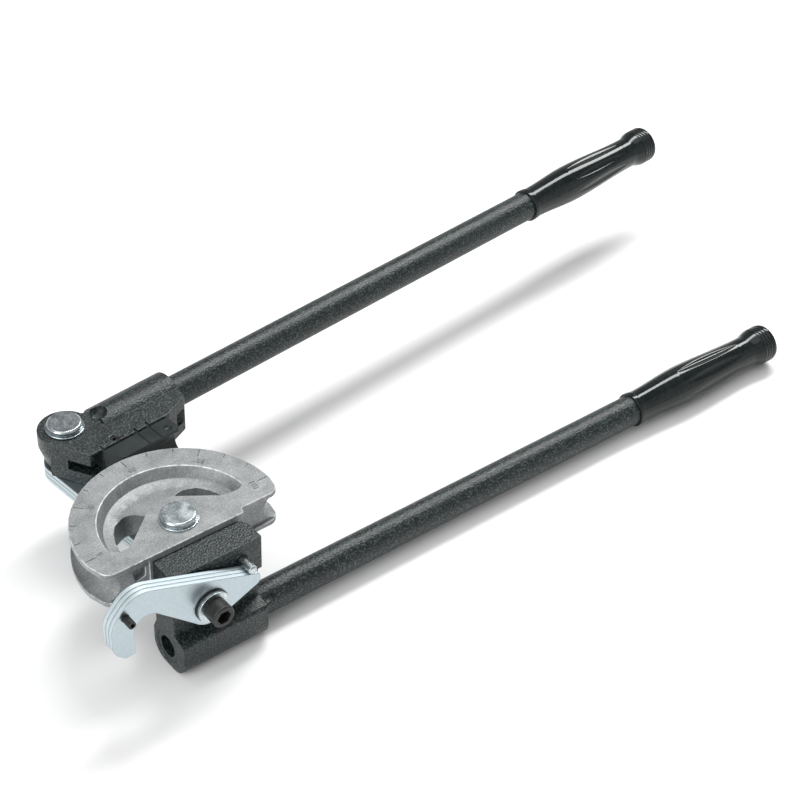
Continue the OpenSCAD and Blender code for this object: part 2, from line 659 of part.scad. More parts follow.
module hook_screw() color(black_oxide) at_hook_pivot(screw_seat) difference() {
    union() {
        rotate_extrude() polygon([
            [0, 0], [screw_head_d/2, 0], [screw_head_d/2, screw_d - 1], [screw_head_d/2 - 1, screw_d], [0, screw_d]]);
        translate([0, 0, -(web_front + screw_depth - screw_seat)])
            cylinder(h = web_front + screw_depth - screw_seat + eps, r = screw_d/2);
    }
    translate([0, 0, screw_d/2]) cylinder(h = screw_d, r = hex_af/2/cos(30), $fn = 6);
}

module hook_lift_pin() color(black_oxide) at_hook_pivot(hook_back)
    translate([lift_pin_at[0], lift_pin_at[1], 0]) spring_pin(lift_pin_d, 3*hook_t + lift_pin_out);

// The stop pin lies just over the top edge of the hook's tail
tail_slope = atan2(nose_top[1] - tail_end[1], nose_top[0] - tail_end[0]);
stop_along = 10;
stop_off = stop_pin_d/2 + run_gap;
stop_x = -hook_x + tail_end[0] + stop_along*cos(tail_slope) + stop_off*sin(tail_slope);
stop_z = hook_h + tail_end[1] + stop_along*sin(tail_slope) - stop_off*cos(tail_slope);
module hook_stop_pin() color(zinc) translate([stop_x, web_front + stop_pin_depth, stop_z]) rotate([90, 0, 0])
    rotate_extrude() polygon([
        [0, 0], [stop_pin_d/2, 0], [stop_pin_d/2, stop_pin_depth + stop_pin_out - 1],
        [stop_pin_d/2 - 1, stop_pin_depth + stop_pin_out], [0, stop_pin_depth + stop_pin_out]]);

body_casting();
lower_tube();
lower_grip();
forming_die();
die_pin();
die_pin_washer();
die_pin_clip();
link_plate_top();
link_plate_middle();
link_plate_bottom();
head_casting();
shoe();
shoe_pin();
head_pin();
head_pin_washer();
head_pin_clip();
upper_tube();
upper_grip();
hook_plate_back();
hook_plate_middle();
hook_plate_front();
hook_sleeve();
hook_back_washer();
hook_spring_washer();
hook_washer();
hook_screw();
hook_lift_pin();
hook_stop_pin();
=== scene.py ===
# %% [markdown]
# # Dressing a lever tube bender
#
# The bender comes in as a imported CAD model: two castings, a grooved die, a link,
# a hook, two handles and their pins, all in metres and already in place.
# This lesson gives every piece its finish, softens the edges that a foundry or a
# press would leave soft, and moulds the two grips.

# %% Load the frame
import json
import math

import bmesh
import bpy
from mathutils import Matrix, Vector


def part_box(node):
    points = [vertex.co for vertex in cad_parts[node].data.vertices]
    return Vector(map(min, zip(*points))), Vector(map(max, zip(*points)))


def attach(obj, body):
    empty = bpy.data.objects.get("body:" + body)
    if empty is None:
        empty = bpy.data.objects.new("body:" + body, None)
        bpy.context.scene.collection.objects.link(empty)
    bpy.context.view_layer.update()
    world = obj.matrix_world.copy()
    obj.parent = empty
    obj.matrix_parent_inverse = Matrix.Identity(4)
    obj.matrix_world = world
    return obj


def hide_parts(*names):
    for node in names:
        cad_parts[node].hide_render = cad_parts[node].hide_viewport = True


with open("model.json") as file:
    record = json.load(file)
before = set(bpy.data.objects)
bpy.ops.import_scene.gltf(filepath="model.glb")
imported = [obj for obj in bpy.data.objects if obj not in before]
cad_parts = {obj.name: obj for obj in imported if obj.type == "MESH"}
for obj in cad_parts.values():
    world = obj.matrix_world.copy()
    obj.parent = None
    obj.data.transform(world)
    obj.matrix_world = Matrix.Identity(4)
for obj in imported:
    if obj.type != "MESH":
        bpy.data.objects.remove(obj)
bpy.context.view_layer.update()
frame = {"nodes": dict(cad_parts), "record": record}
MM = 0.001
joint_at = {j["name"]: Vector(j["pos_m"]) for j in frame["record"]["behaviour"]["joints"]}


def show(item):
    """Links an object to the scene."""
    bpy.context.scene.collection.objects.link(item)


# %% [markdown]
# ## Camera
#
# The photograph looks down on the tool from the front left, with both handles running
# away to the upper right. A camera can be placed by eye, but here its angles and its
# lens were worked out from the die's round rim and the straight handles, so the script
# only has to turn those angles into the camera's three axes.

# %% Turn the angles into axes
BEND_AXIS = Vector((joint_at["link_swing"].x, joint_at["link_swing"].y, 0))
PIN_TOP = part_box("die_pin")[1].z
view_turn = math.radians(-39.45)
view_drop = math.radians(38.86)
view_roll = math.radians(-2.08)
view_distance = 1558.7 * MM
aim = BEND_AXIS + Vector((205.54 * MM, 7.0 * MM, PIN_TOP))

forward = Vector((
    -math.sin(view_turn) * math.cos(view_drop),
    math.cos(view_turn) * math.cos(view_drop),
    -math.sin(view_drop)))
level_right = Vector((math.cos(view_turn), math.sin(view_turn), 0))
level_down = forward.cross(level_right)
right = level_right * math.cos(view_roll) + level_down * math.sin(view_roll)
down = level_down * math.cos(view_roll) - level_right * math.sin(view_roll)
print("the camera looks along", [round(c, 3) for c in forward])

# %% Place the camera
PHOTO_WIDTH = 800
FOCAL_PIXELS = 2048.72
SENSOR_WIDTH = 36

camera_data = bpy.data.cameras.new("photo_camera")
camera_data.sensor_fit = "HORIZONTAL"
camera_data.sensor_width = SENSOR_WIDTH
camera_data.lens = FOCAL_PIXELS / PHOTO_WIDTH * SENSOR_WIDTH
camera = bpy.data.objects.new("photo_camera", camera_data)
axes = Matrix((right, -down, -forward)).transposed().to_4x4()
camera.matrix_world = Matrix.Translation(aim - forward * view_distance) @ axes
show(camera)
bpy.context.scene.camera = camera
print("camera at", [round(c, 3) for c in camera.matrix_world.translation])

# %% [markdown]
# ## Light
#
# Black tools are lit from above in a dim room. A narrow, strong strip lies along the
# handles, a little behind them: it glints on the textured tops, leaves the fronts dark and
# draws a crisp streak on the glossy grips. A low panel in front gives the grips' lower
# halves something pale to mirror, and a panel on the left lights the ends of the hook and
# the socket. A weak sun with a very wide disc lights the whole floor evenly and keeps
# shadows light. A picture of a room could light all this too, but lamps can be moved.

# %% Lamps
def soft_lamp(name, size, power, place, look_at, along=(1, 0, 0)):
    """A rectangular lamp whose first side lies along a direction."""
    lamp = bpy.data.lights.new(name, "AREA")
    lamp.shape = "RECTANGLE"
    lamp.size, lamp.size_y = size
    lamp.energy = power
    back = (Vector(place) - Vector(look_at)).normalized()
    across = (Vector(along) - back * back.dot(Vector(along))).normalized()
    turned = Matrix((across, back.cross(across), back)).transposed().to_4x4()
    lamp_object = bpy.data.objects.new(name, lamp)
    lamp_object.matrix_world = Matrix.Translation(place) @ turned
    show(lamp_object)


soft_lamp("strip_lamp", size=(1.7, 0.42), power=34, place=(1.15, 0.58, 1.5), look_at=(0.35, 0.1, 0.05))
soft_lamp("front_panel", size=(3.4, 1.7), power=6, place=(0.9, -1.7, 0.95), look_at=(0.6, 0, 0.1))
soft_lamp(
    "left_panel", size=(1.2, 1.0), power=18, place=(-1.5, -0.2, 0.75), look_at=(0, 0.05, 0.05),
    along=(0, 1, 0))

overhead_lean = math.radians(-12)
overhead = bpy.data.lights.new("overhead", "SUN")
overhead.energy = 1.35
overhead.angle = math.radians(70)
overhead_object = bpy.data.objects.new("overhead", overhead)
overhead_object.matrix_world = Matrix.Rotation(overhead_lean, 4, "Y")
show(overhead_object)

# %% [markdown]
# ## Room and floor
#
# The room is pale near the floor and dim higher up, so that low faces mirror something
# bright and the tops stay dark. It could be a ring of panels, but a fade over the height
# of the world needs no geometry. The floor is a plain pale sheet just under the tool.

# %% Room
FADE = {"From Min": 0.1, "From Max": 0.5, "To Min": 0.62, "To Max": 0.18}
world = bpy.data.worlds.new("studio")
world.use_nodes = True
room = world.node_tree
looking = room.nodes.new("ShaderNodeTexCoord")
height = room.nodes.new("ShaderNodeSeparateXYZ")
room.links.new(looking.outputs["Generated"], height.inputs[0])
fade = room.nodes.new("ShaderNodeMapRange")
for label, number in FADE.items():
    fade.inputs[label].default_value = number
room.links.new(height.outputs["Z"], fade.inputs["Value"])
room.links.new(fade.outputs[0], room.nodes["Background"].inputs["Strength"])
room.nodes["Background"].inputs["Color"].default_value = (1, 1, 1, 1)
bpy.context.scene.world = world
bpy.context.scene.view_settings.view_transform = "Standard"
print("room fades from", FADE["To Min"], "to", FADE["To Max"])

# %% Floor
FLOOR_HALF = 20
FLOOR_GAP = 0.4 * MM
PAPER = (0.85, 0.85, 0.85, 1)
floor_mesh = bpy.data.meshes.new("floor")
bm = bmesh.new()
under_tool = Matrix.Translation((0, 0, -FLOOR_GAP))
bmesh.ops.create_grid(bm, x_segments=1, y_segments=1, size=FLOOR_HALF, matrix=under_tool)
bm.to_mesh(floor_mesh)
bm.free()
floor = bpy.data.objects.new("floor", floor_mesh)
show(floor)
paper = bpy.data.materials.new("pale_paper")
paper.use_nodes = True
paper.node_tree.nodes["Principled BSDF"].inputs["Base Color"].default_value = PAPER
paper.node_tree.nodes["Principled BSDF"].inputs["Roughness"].default_value = 0.9
floor_mesh.materials.append(paper)
print("floor:", 2 * FLOOR_HALF, "m wide")

# %% [markdown]
# ## Shared surface effects
#
# Several finishes need the same things: fine grain that breaks up the light, slow
# blotches that keep a large face from looking flat, and edges lighter than the face,
# partly as wear from handling and partly as a painted highlight.
# Each is a node group with named inputs, so every material places the group with its own
# values instead of repeating nodes. The groups read Object coordinates in metres, so a
# grain of 1 mm is 1 mm on every piece.

# %% Helpers for node trees
def add(tree, kind, **settings):
    """Adds a node. Settings are named sockets or properties of the node."""
    node = tree.nodes.new(kind)
    for key, value in settings.items():
        if key in node.inputs:
            node.inputs[key].default_value = value
        else:
            setattr(node, key, value)
    return node


def maths(tree, operation, first, second=None):
    """A Math node. Each operand is a number or a socket."""
    node = add(tree, "ShaderNodeMath", operation=operation)
    for place, operand in enumerate((first, second)):
        if operand is None:
            continue
        if isinstance(operand, (int, float)):
            node.inputs[place].default_value = operand
        else:
            tree.links.new(operand, node.inputs[place])
    return node.outputs[0]


def spread(tree, value, low, high, to_low=0.0, to_high=1.0):
    """A Map Range node from low..high to to_low..to_high, clamped."""
    node = add(tree, "ShaderNodeMapRange")
    for label, number in (("From Min", low), ("From Max", high), ("To Min", to_low), ("To Max", to_high)):
        node.inputs[label].default_value = number
    tree.links.new(value, node.inputs["Value"])
    return node.outputs[0]


def blend_colour(tree, share, base, colour, label):
    """Mixes a colour into a base socket by a share socket."""
    node = add(tree, "ShaderNodeMix", data_type="RGBA", label=label)
    node.inputs[7].default_value = (*colour, 1)
    tree.links.new(share, node.inputs[0])
    tree.links.new(base, node.inputs[6])
    return node.outputs[2]


def new_group(name, inputs, outputs):
    """An empty node group with its input and output nodes."""
    group = bpy.data.node_groups.new(name, "ShaderNodeTree")
    for label, value in inputs:
        kind = "NodeSocketVector" if isinstance(value, tuple) else "NodeSocketFloat"
        socket = group.interface.new_socket(label, in_out="INPUT", socket_type=kind)
        socket.default_value = value
    for label in outputs:
        group.interface.new_socket(label, in_out="OUTPUT", socket_type="NodeSocketFloat")
    return group, group.nodes.new("NodeGroupInput"), group.nodes.new("NodeGroupOutput")


print("helpers: add, maths, spread, blend_colour, new_group")

# %% Grain: pimples of a given size with finer noise on top
FINER = 2.7
CREST_RISE = 0.14
grain, g_in, g_out = new_group(
    "grain", [("Pimples per m", 900.0), ("Fine share", 0.35), ("Crests from", 0.47)], ["Height", "Speck"])
coords = add(grain, "ShaderNodeTexCoord")
pimples = add(grain, "ShaderNodeTexNoise", Detail=1.0, Roughness=0.5)
fine = add(grain, "ShaderNodeTexNoise", Detail=2.0, Roughness=0.6)
for node in (pimples, fine):
    grain.links.new(coords.outputs["Object"], node.inputs["Vector"])
grain.links.new(g_in.outputs["Pimples per m"], pimples.inputs["Scale"])
grain.links.new(maths(grain, "MULTIPLY", g_in.outputs["Pimples per m"], FINER), fine.inputs["Scale"])
both = add(grain, "ShaderNodeMix", data_type="FLOAT")
grain.links.new(g_in.outputs["Fine share"], both.inputs[0])
grain.links.new(pimples.outputs["Fac"], both.inputs[2])
grain.links.new(fine.outputs["Fac"], both.inputs[3])
grain.links.new(both.outputs[0], g_out.inputs["Height"])
above = maths(grain, "SUBTRACT", both.outputs[0], g_in.outputs["Crests from"])
grain.links.new(spread(grain, above, 0, CREST_RISE), g_out.inputs["Speck"])
print("grain:", len(grain.nodes), "nodes")

# %% Blotches: slow, soft patches
blotches, b_in, b_out = new_group("blotches", [("Patches per m", 60.0)], ["Patch"])
coords = add(blotches, "ShaderNodeTexCoord")
patches = add(blotches, "ShaderNodeTexNoise", Detail=4.0, Roughness=0.6)
blotches.links.new(coords.outputs["Object"], patches.inputs["Vector"])
blotches.links.new(b_in.outputs["Patches per m"], patches.inputs["Scale"])
soft_patch = spread(blotches, patches.outputs["Fac"], low=0.35, high=0.65)
blotches.links.new(soft_patch, b_out.inputs["Patch"])
print("blotches:", len(blotches.nodes), "nodes")

# %% Edge wear and painted highlight: the rounded edges carry an attribute, which noise breaks up
wear_and_highlight, w_in, w_out = new_group("wear_and_highlight", [("Breaks per m", 300.0)], ["Wear"])
coords = add(wear_and_highlight, "ShaderNodeTexCoord")
rounded_edge = add(wear_and_highlight, "ShaderNodeAttribute", attribute_name="rounded_edge")
breaks = add(wear_and_highlight, "ShaderNodeTexNoise", Detail=3.0)
wear_and_highlight.links.new(coords.outputs["Object"], breaks.inputs["Vector"])
wear_and_highlight.links.new(w_in.outputs["Breaks per m"], breaks.inputs["Scale"])
broken = spread(wear_and_highlight, breaks.outputs["Fac"], low=0.3, high=0.6)
wear_and_highlight.links.new(maths(wear_and_highlight, "MULTIPLY", rounded_edge.outputs["Fac"], broken), w_out.inputs["Wear"])
print("edge wear:", len(wear_and_highlight.nodes), "nodes")

# %% [markdown]
# ## Finishes
#
# The castings and tubes have a wrinkled powder coat: nearly black, with crests painted
# lighter, partly as the coat's grain and partly as painted glints where they catch the light.
# The die is matt cast alloy. Link, hook and pins are bright zinc plate. Small
# fasteners are black oxide, the shoe is smooth satin black and the grips are glossy.
# Each could have its own nodes, but one helper wires them all, because each is a colour
# pair mixed by grain and blotches, an edge colour that is partly wear and partly a painted
# highlight, a roughness pair and a bump.

# %% One helper for every finish
def finish(name, dark, light, edge, rough, grain_per_m, patches_per_m, bump, metal=0.0, fine_share=0.35,
           speck_share=0.6, edge_share=0.5, gloss=0.5, crests=0.45):
    """A material whose colour runs from dark to light, with edges lighter as wear and as a painted
    highlight.
    """
    material = bpy.data.materials.new(name)
    material.use_nodes = True
    tree = material.node_tree
    shader = tree.nodes["Principled BSDF"]
    shader.inputs["Metallic"].default_value = metal
    shader.inputs["Specular IOR Level"].default_value = gloss
    grains = add(tree, "ShaderNodeGroup", node_tree=grain)
    grains.inputs["Pimples per m"].default_value = grain_per_m
    grains.inputs["Fine share"].default_value = fine_share
    grains.inputs["Crests from"].default_value = crests
    patch = add(tree, "ShaderNodeGroup", node_tree=blotches)
    patch.inputs["Patches per m"].default_value = patches_per_m
    wear_and_highlight_node = add(tree, "ShaderNodeGroup", node_tree=wear_and_highlight)
    share = add(tree, "ShaderNodeMix", data_type="FLOAT")
    share.inputs[0].default_value = speck_share
    tree.links.new(patch.outputs["Patch"], share.inputs[2])
    tree.links.new(grains.outputs["Speck"], share.inputs[3])
    colour = add(tree, "ShaderNodeMix", data_type="RGBA", label="speckled")
    colour.inputs[6].default_value = (*dark, 1)
    colour.inputs[7].default_value = (*light, 1)
    tree.links.new(share.outputs[0], colour.inputs[0])
    # Edges: this colour is partly wear and partly a painted highlight along the rounded edges.
    rub_and_highlight_share = maths(tree, "MULTIPLY", wear_and_highlight_node.outputs["Wear"], edge_share)
    worn_and_highlit = blend_colour(tree, rub_and_highlight_share, colour.outputs[2], edge, "worn_and_highlit")
    tree.links.new(worn_and_highlit, shader.inputs["Base Color"])
    tree.links.new(spread(tree, patch.outputs["Patch"], 0, 1, *rough), shader.inputs["Roughness"])
    relief = add(tree, "ShaderNodeBump", Strength=1.0, Distance=bump)
    tree.links.new(grains.outputs["Height"], relief.inputs["Height"])
    tree.links.new(relief.outputs[0], shader.inputs["Normal"])
    return material


print("finish() is ready")

# %% Wrinkled powder coat and cast alloy
# The coat's lighter crests are partly grain and partly painted glints, as on crests that catch the light;
# its edge colour is partly wear and partly a painted highlight.
texture_paint = finish(
    "texture_paint", dark=(0.001, 0.003, 0.003), light=(0.048, 0.07, 0.069), edge=(0.05, 0.064, 0.063),
    rough=(0.33, 0.42), grain_per_m=760, patches_per_m=40, bump=0.5 * MM, fine_share=0.15,
    speck_share=0.96, edge_share=0.6, gloss=0.45, crests=0.5)
# The alloy's bright edge colour is partly polished wear and partly a painted highlight.
cast_alloy = finish(
    "cast_alloy", dark=(0.17, 0.18, 0.182), light=(0.325, 0.337, 0.339), edge=(0.78, 0.8, 0.81),
    rough=(0.38, 0.48), grain_per_m=700, patches_per_m=75, bump=0.25 * MM, metal=0.3, fine_share=0.45,
    speck_share=0.5, edge_share=1.0)
print("cast finishes:", texture_paint.name, cast_alloy.name)

# %% Black finishes
# Their edge colours, too, are partly wear and partly a painted highlight.
black_oxide = finish(
    "black_oxide", dark=(0.012, 0.012, 0.012), light=(0.035, 0.035, 0.034), edge=(0.16, 0.16, 0.16),
    rough=(0.3, 0.42), grain_per_m=1600, patches_per_m=150, bump=0.03 * MM, metal=0.5)
satin_black = finish(
    "satin_black", dark=(0.01, 0.014, 0.014), light=(0.02, 0.026, 0.026), edge=(0.12, 0.14, 0.14),
    rough=(0.34, 0.46), grain_per_m=1200, patches_per_m=60, bump=0.05 * MM, edge_share=0.6, gloss=0.3)
grip_gloss = finish(
    "grip_gloss", dark=(0.006, 0.009, 0.009), light=(0.012, 0.016, 0.016), edge=(0.02, 0.02, 0.02),
    rough=(0.08, 0.14), grain_per_m=240, patches_per_m=40, bump=0.02 * MM, edge_share=0.0, gloss=0.3)
grip_gloss.node_tree.nodes["Principled BSDF"].inputs["Coat Weight"].default_value = 0.05
grip_gloss.node_tree.nodes["Principled BSDF"].inputs["Coat Roughness"].default_value = 0.05
print("black finishes:", black_oxide.name, satin_black.name, grip_gloss.name)

# %% [markdown]
# ## Zinc plate on stamped steel
#
# The hook and the link are stacks of stamped plates. A press leaves the flat faces smooth,
# while the sheared edges are rougher. The gap between two plates lies in shade, and that
# shade is painted as a dark line on the edges.
# Modelling each sheared edge would take many faces, so a group reads the surface's
# direction: where it doesn't face along the stack, it is an edge, and the height in the
# stack tells where the painted shade lines are.

# %% Sheared edges, and painted shade between plates
FACES_STACK, FACES_AWAY = 0.75, 0.5
LINE_FADED, LINE_DARK = 0.16, 0.06
sheared, s_in, s_out = new_group(
    "sheared_edges", [("Across", (0.0, 0.0, 1.0)), ("First plate at", 0.0), ("Plate", 0.004)],
    ["Edge", "Line"])
coords = add(sheared, "ShaderNodeTexCoord")
facing = add(sheared, "ShaderNodeVectorMath", operation="DOT_PRODUCT")
sheared.links.new(coords.outputs["Normal"], facing.inputs[0])
sheared.links.new(s_in.outputs["Across"], facing.inputs[1])
side = spread(sheared, maths(sheared, "ABSOLUTE", facing.outputs["Value"]), FACES_STACK, FACES_AWAY)
level = add(sheared, "ShaderNodeVectorMath", operation="DOT_PRODUCT")
sheared.links.new(coords.outputs["Object"], level.inputs[0])
sheared.links.new(s_in.outputs["Across"], level.inputs[1])
height = maths(sheared, "SUBTRACT", level.outputs["Value"], s_in.outputs["First plate at"])
plates_up = maths(sheared, "DIVIDE", height, s_in.outputs["Plate"])
# Painted shade between plates: dark near each plate boundary, and only on the edges.
from_line = maths(sheared, "PINGPONG", plates_up, 0.5)
gap_shade = spread(sheared, from_line, LINE_FADED, LINE_DARK)
sheared.links.new(side, s_out.inputs["Edge"])
sheared.links.new(maths(sheared, "MULTIPLY", gap_shade, side), s_out.inputs["Line"])
print("sheared edges:", len(sheared.nodes), "nodes")

# %% Helpers for zinc, plain or on a stack
SHEARED_ZINC, SHEARED_SHARE, TORN_ROUGHNESS = (0.62, 0.7, 0.73), 0.5, 0.6
PLATE_GAP_SHADE, GAP_SHADE_SHARE = (0.035, 0.045, 0.05), 0.85


def zinc(name, dark, light, rough):
    """Bright zinc plate."""
    # Its light edge colour is partly wear and partly a painted highlight.
    return finish(
        name, dark, light, edge=(0.8, 0.83, 0.85), rough=rough, grain_per_m=500, patches_per_m=90,
        bump=0.03 * MM, metal=1.0)


def stacked_zinc(name, across, first, plate):
    """Zinc on a stack of plates: where the first one starts and how thick each is."""
    material = zinc(name, dark=(0.42, 0.49, 0.52), light=(0.47, 0.54, 0.57), rough=(0.28, 0.34))
    tree = material.node_tree
    shader = tree.nodes["Principled BSDF"]
    plain = shader.inputs["Base Color"].links[0].from_socket
    even = shader.inputs["Roughness"].links[0].from_socket
    edges = add(tree, "ShaderNodeGroup", node_tree=sheared)
    edges.inputs["Across"].default_value = across
    edges.inputs["First plate at"].default_value = first
    edges.inputs["Plate"].default_value = plate
    edge_share = maths(tree, "MULTIPLY", edges.outputs["Edge"], SHEARED_SHARE)
    edged = blend_colour(tree, edge_share, plain, SHEARED_ZINC, "sheared")
    # Painted shade: the dark gap colour is mixed in where two plates meet.
    gap_shade_share = maths(tree, "MULTIPLY", edges.outputs["Line"], GAP_SHADE_SHARE)
    gap_shaded = blend_colour(tree, gap_shade_share, edged, PLATE_GAP_SHADE, "between plates")
    tree.links.new(gap_shaded, shader.inputs["Base Color"])
    rougher = add(tree, "ShaderNodeMix", data_type="FLOAT", label="torn by the press")
    rougher.inputs[3].default_value = TORN_ROUGHNESS
    tree.links.new(edges.outputs["Edge"], rougher.inputs[0])
    tree.links.new(even, rougher.inputs[2])
    tree.links.new(rougher.outputs[0], shader.inputs["Roughness"])
    return material


print("helpers: zinc, stacked_zinc")

# %% Zinc finishes: plain for pins and washers, with sheared edges for the two stacks
hook_low, hook_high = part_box("hook_plate_front")
link_low, link_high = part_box("link_plate_bottom")
pin_zinc = zinc("pin_zinc", dark=(0.38, 0.43, 0.45), light=(0.66, 0.72, 0.74), rough=(0.22, 0.32))
hook_zinc = stacked_zinc("hook_zinc", across=(0, 1, 0), first=hook_low.y, plate=hook_high.y - hook_low.y)
link_zinc = stacked_zinc("link_zinc", across=(0, 0, 1), first=link_low.z, plate=link_high.z - link_low.z)
finish_of_slot = {
    "texture_paint": texture_paint, "cast_alloy": cast_alloy, "zinc_steel": pin_zinc,
    "black_steel": black_oxide, "shoe_black": satin_black, "grip_plastic": grip_gloss}
print("zinc:", pin_zinc.name, hook_zinc.name, link_zinc.name)

# %% [markdown]
# ## Softened copies of the cast and machined pieces
#
# CAD edges are perfectly sharp, and nothing that came out of a mould or a press is.
# Each piece is copied, its loose triangles are merged, flat areas are dissolved into
# single faces and the sharp edges are bevelled by a width that suits how it was made:
# generous on the castings, thin on stamped plates. An edge is left alone where it is an
# inner corner or a face beside it is too shallow for the bevel, as in an engraved mark.
# One bevel for the whole piece would be held back by its smallest corner, so each chain
# of edges is bevelled by itself, and only a chain that would fold a face is held back.
# A second round with half the width takes the edges that were too shallow for the first.

# %% Turn a bmesh into a piece
SHARP_RIDGE, SHARP_CORNER = math.radians(46), math.radians(25)
slot_of_node = {s["node"]: s["material_slot"] for s in frame["record"]["subparts"]}
body_of_node = {n: b for b, members in frame["record"]["behaviour"]["bodies"].items() for n in members}


def settle(bm, name, node, material=None):
    """Turns a finished bmesh into a piece that stands for a CAD node."""
    mesh = bpy.data.meshes.new(name)
    for face in bm.faces:
        face.smooth = True
    rounded_edge = bm.verts.layers.float.get("rounded_edge")
    for edge in bm.edges:
        in_bevel = rounded_edge is not None and all(v[rounded_edge] for v in edge.verts)
        limit = SHARP_RIDGE if edge.is_convex else SHARP_CORNER
        edge.smooth = in_bevel or edge.calc_face_angle(0) < limit
    bm.to_mesh(mesh)
    bm.free()
    mesh.materials.append(material or finish_of_slot[slot_of_node[node]])
    piece = bpy.data.objects.new(name, mesh)
    show(piece)
    even = piece.modifiers.new("even_shading", "WEIGHTED_NORMAL")
    even.keep_sharp = True
    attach(piece, body_of_node[node])
    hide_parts(node)
    return piece


print("slots:", sorted(set(slot_of_node.values())))

# %% Find the edges to round
ROUND_FROM = math.radians(28)
ROOM_FOR_BEVEL = 2.3


def depth_beside(edge, face):
    """How far a face reaches from one of its edges."""
    start = edge.verts[0].co
    along = (edge.verts[1].co - start).normalized()
    return max(((v.co - start) - along * (v.co - start).dot(along)).length for v in face.verts)


def can_round(edge, width):
    """Whether an edge is a sharp ridge between faces that are deep enough."""
    if not edge.is_convex or edge.calc_face_angle(0) <= ROUND_FROM:
        return False
    return min(depth_beside(edge, f) for f in edge.link_faces) > ROOM_FOR_BEVEL * width


def edge_chains(edges):
    """Groups edges that hang together at their ends, in the order of the mesh."""
    left = {edge.index: edge for edge in edges}
    chains = []
    while left:
        chain = [left.pop(next(iter(left)))]
        for edge in chain:
            joined = sorted({e.index for v in edge.verts for e in v.link_edges if e.index in left})
            chain.extend(left.pop(index) for index in joined)
        chains.append(chain)
    return chains


print("edges are rounded from", round(math.degrees(ROUND_FROM)), "degrees")

# %% Round one chain at a time
FOLD_SLACK, SMALL_FACE = 0.05 * MM * MM, 3 * MM * MM
SMALL_WARP, LARGE_WARP = 1.09, 1.03


def folded_faces(bm):
    """How many faces fold over: the triangles that fill them cover more than their area."""
    cover = {}
    for corner in bm.calc_loop_triangles():
        a, b, c = (loop.vert.co for loop in corner)
        cover[corner[0].face] = cover.get(corner[0].face, 0) + (b - a).cross(c - a).length / 2
    folded = 0
    for face, covered in cover.items():
        area = face.calc_area()
        warp = SMALL_WARP if area < SMALL_FACE else LARGE_WARP
        folded += covered > warp * area + FOLD_SLACK
    return folded


def rounded(bm, number, width):
    """Bevels the chain with that number, or returns bm as it was where that folds a face."""
    folded_before = folded_faces(bm)
    for held_back in (False, True):
        trial = bm.copy()
        chain_number = trial.edges.layers.int["chain"]
        chain = [e for e in trial.edges if e[chain_number] == number]
        rounding = bmesh.ops.bevel(
            trial, geom=chain, offset=width, offset_type="OFFSET", segments=2, profile=0.5,
            affect="EDGES", material=-1, clamp_overlap=held_back, loop_slide=False)
        if folded_faces(trial) <= folded_before:
            rounded_edge = trial.verts.layers.float["rounded_edge"]
            narrow = set(rounding["faces"])
            for vert in rounding["verts"]:
                vert[rounded_edge] = float(narrow.issuperset(vert.link_faces))
            bm.free()
            return trial
        trial.free()
    return bm


print("a face folds when it covers", LARGE_WARP, "times its area")

# %% Soften the castings and the shoe
MERGE = 0.001 * MM
FLAT_WITHIN = math.radians(0.4)


def softened(node, width, material=None):
    """A copy of a CAD node with its sharp edges rounded by width, or by half of it."""
    bm = bmesh.new()
    bm.from_mesh(frame["nodes"][node].data)
    bm.edges.layers.int.new("chain")
    bm.verts.layers.float.new("rounded_edge")
    bmesh.ops.remove_doubles(bm, verts=bm.verts, dist=MERGE)
    bmesh.ops.dissolve_limit(bm, angle_limit=FLAT_WITHIN, verts=bm.verts, edges=bm.edges)
    found = 0
    for reach in (width, width / 2) if width else ():
        bm.edges.index_update()
        chains = edge_chains(e for e in bm.edges if can_round(e, reach))
        chain_number = bm.edges.layers.int["chain"]
        for edge in bm.edges:
            edge[chain_number] = 0
        for number, chain in enumerate(chains, 1):
            for edge in chain:
                edge[chain_number] = number
        for number in range(1, len(chains) + 1):
            bm = rounded(bm, number, reach)
        found += len(chains)
    bm.edges.layers.int.remove(bm.edges.layers.int["chain"])
    piece = settle(bm, node + "_dressed", node, material)
    print(f"{node}: {found} chains to round, {len(piece.data.polygons)} faces")
    return piece


softened("body_casting", 1.4 * MM)
softened("head_casting", 1.2 * MM)
softened("shoe", 0.6 * MM)
die = softened("forming_die", 0.8 * MM)

# %% [markdown]
# ## Painted shade and dirt on the die
#
# The engraved marks, the feet of the raised numbers and, more thinly, the pocket's floor
# are darkened: painted shade in these recesses, together with the oil and dust that settle
# there. A bump can't show that and a painted image would be needed for each
# mark, so the mesh itself carries it: an attribute is set on the points that lie low, and
# the die's material mixes a dark colour in by that attribute.

# %% Painted shade and dirt in the marks and the pocket
MARK_DEPTH, POCKET_DEPTH, DIAL_FROM = 0.4 * MM, 11 * MM, 63 * MM
LEVEL_WITHIN = 0.05 * MM
POCKET_SHADE_AND_DIRT, SHADE_AND_DIRT_SHARE, SHADE_AND_DIRT = 0.25, 0.8, (0.05, 0.052, 0.05)
DIE_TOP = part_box("forming_die")[1].z

# Painted shade and dirt: 1 on the floors of the marks, less on the pocket's floor, 0 elsewhere.
shade_and_dirt = die.data.attributes.new("recess_shade_and_dirt", "FLOAT", "POINT")
for vert, value in zip(die.data.vertices, shade_and_dirt.data):
    below_top = DIE_TOP - vert.co.z
    on_dial = (vert.co.xy - BEND_AXIS.xy).length > DIAL_FROM
    in_mark = on_dial and abs(below_top - MARK_DEPTH) < LEVEL_WITHIN
    in_pocket = abs(below_top - POCKET_DEPTH) < LEVEL_WITHIN
    value.value = 1.0 if in_mark else POCKET_SHADE_AND_DIRT if in_pocket else 0.0

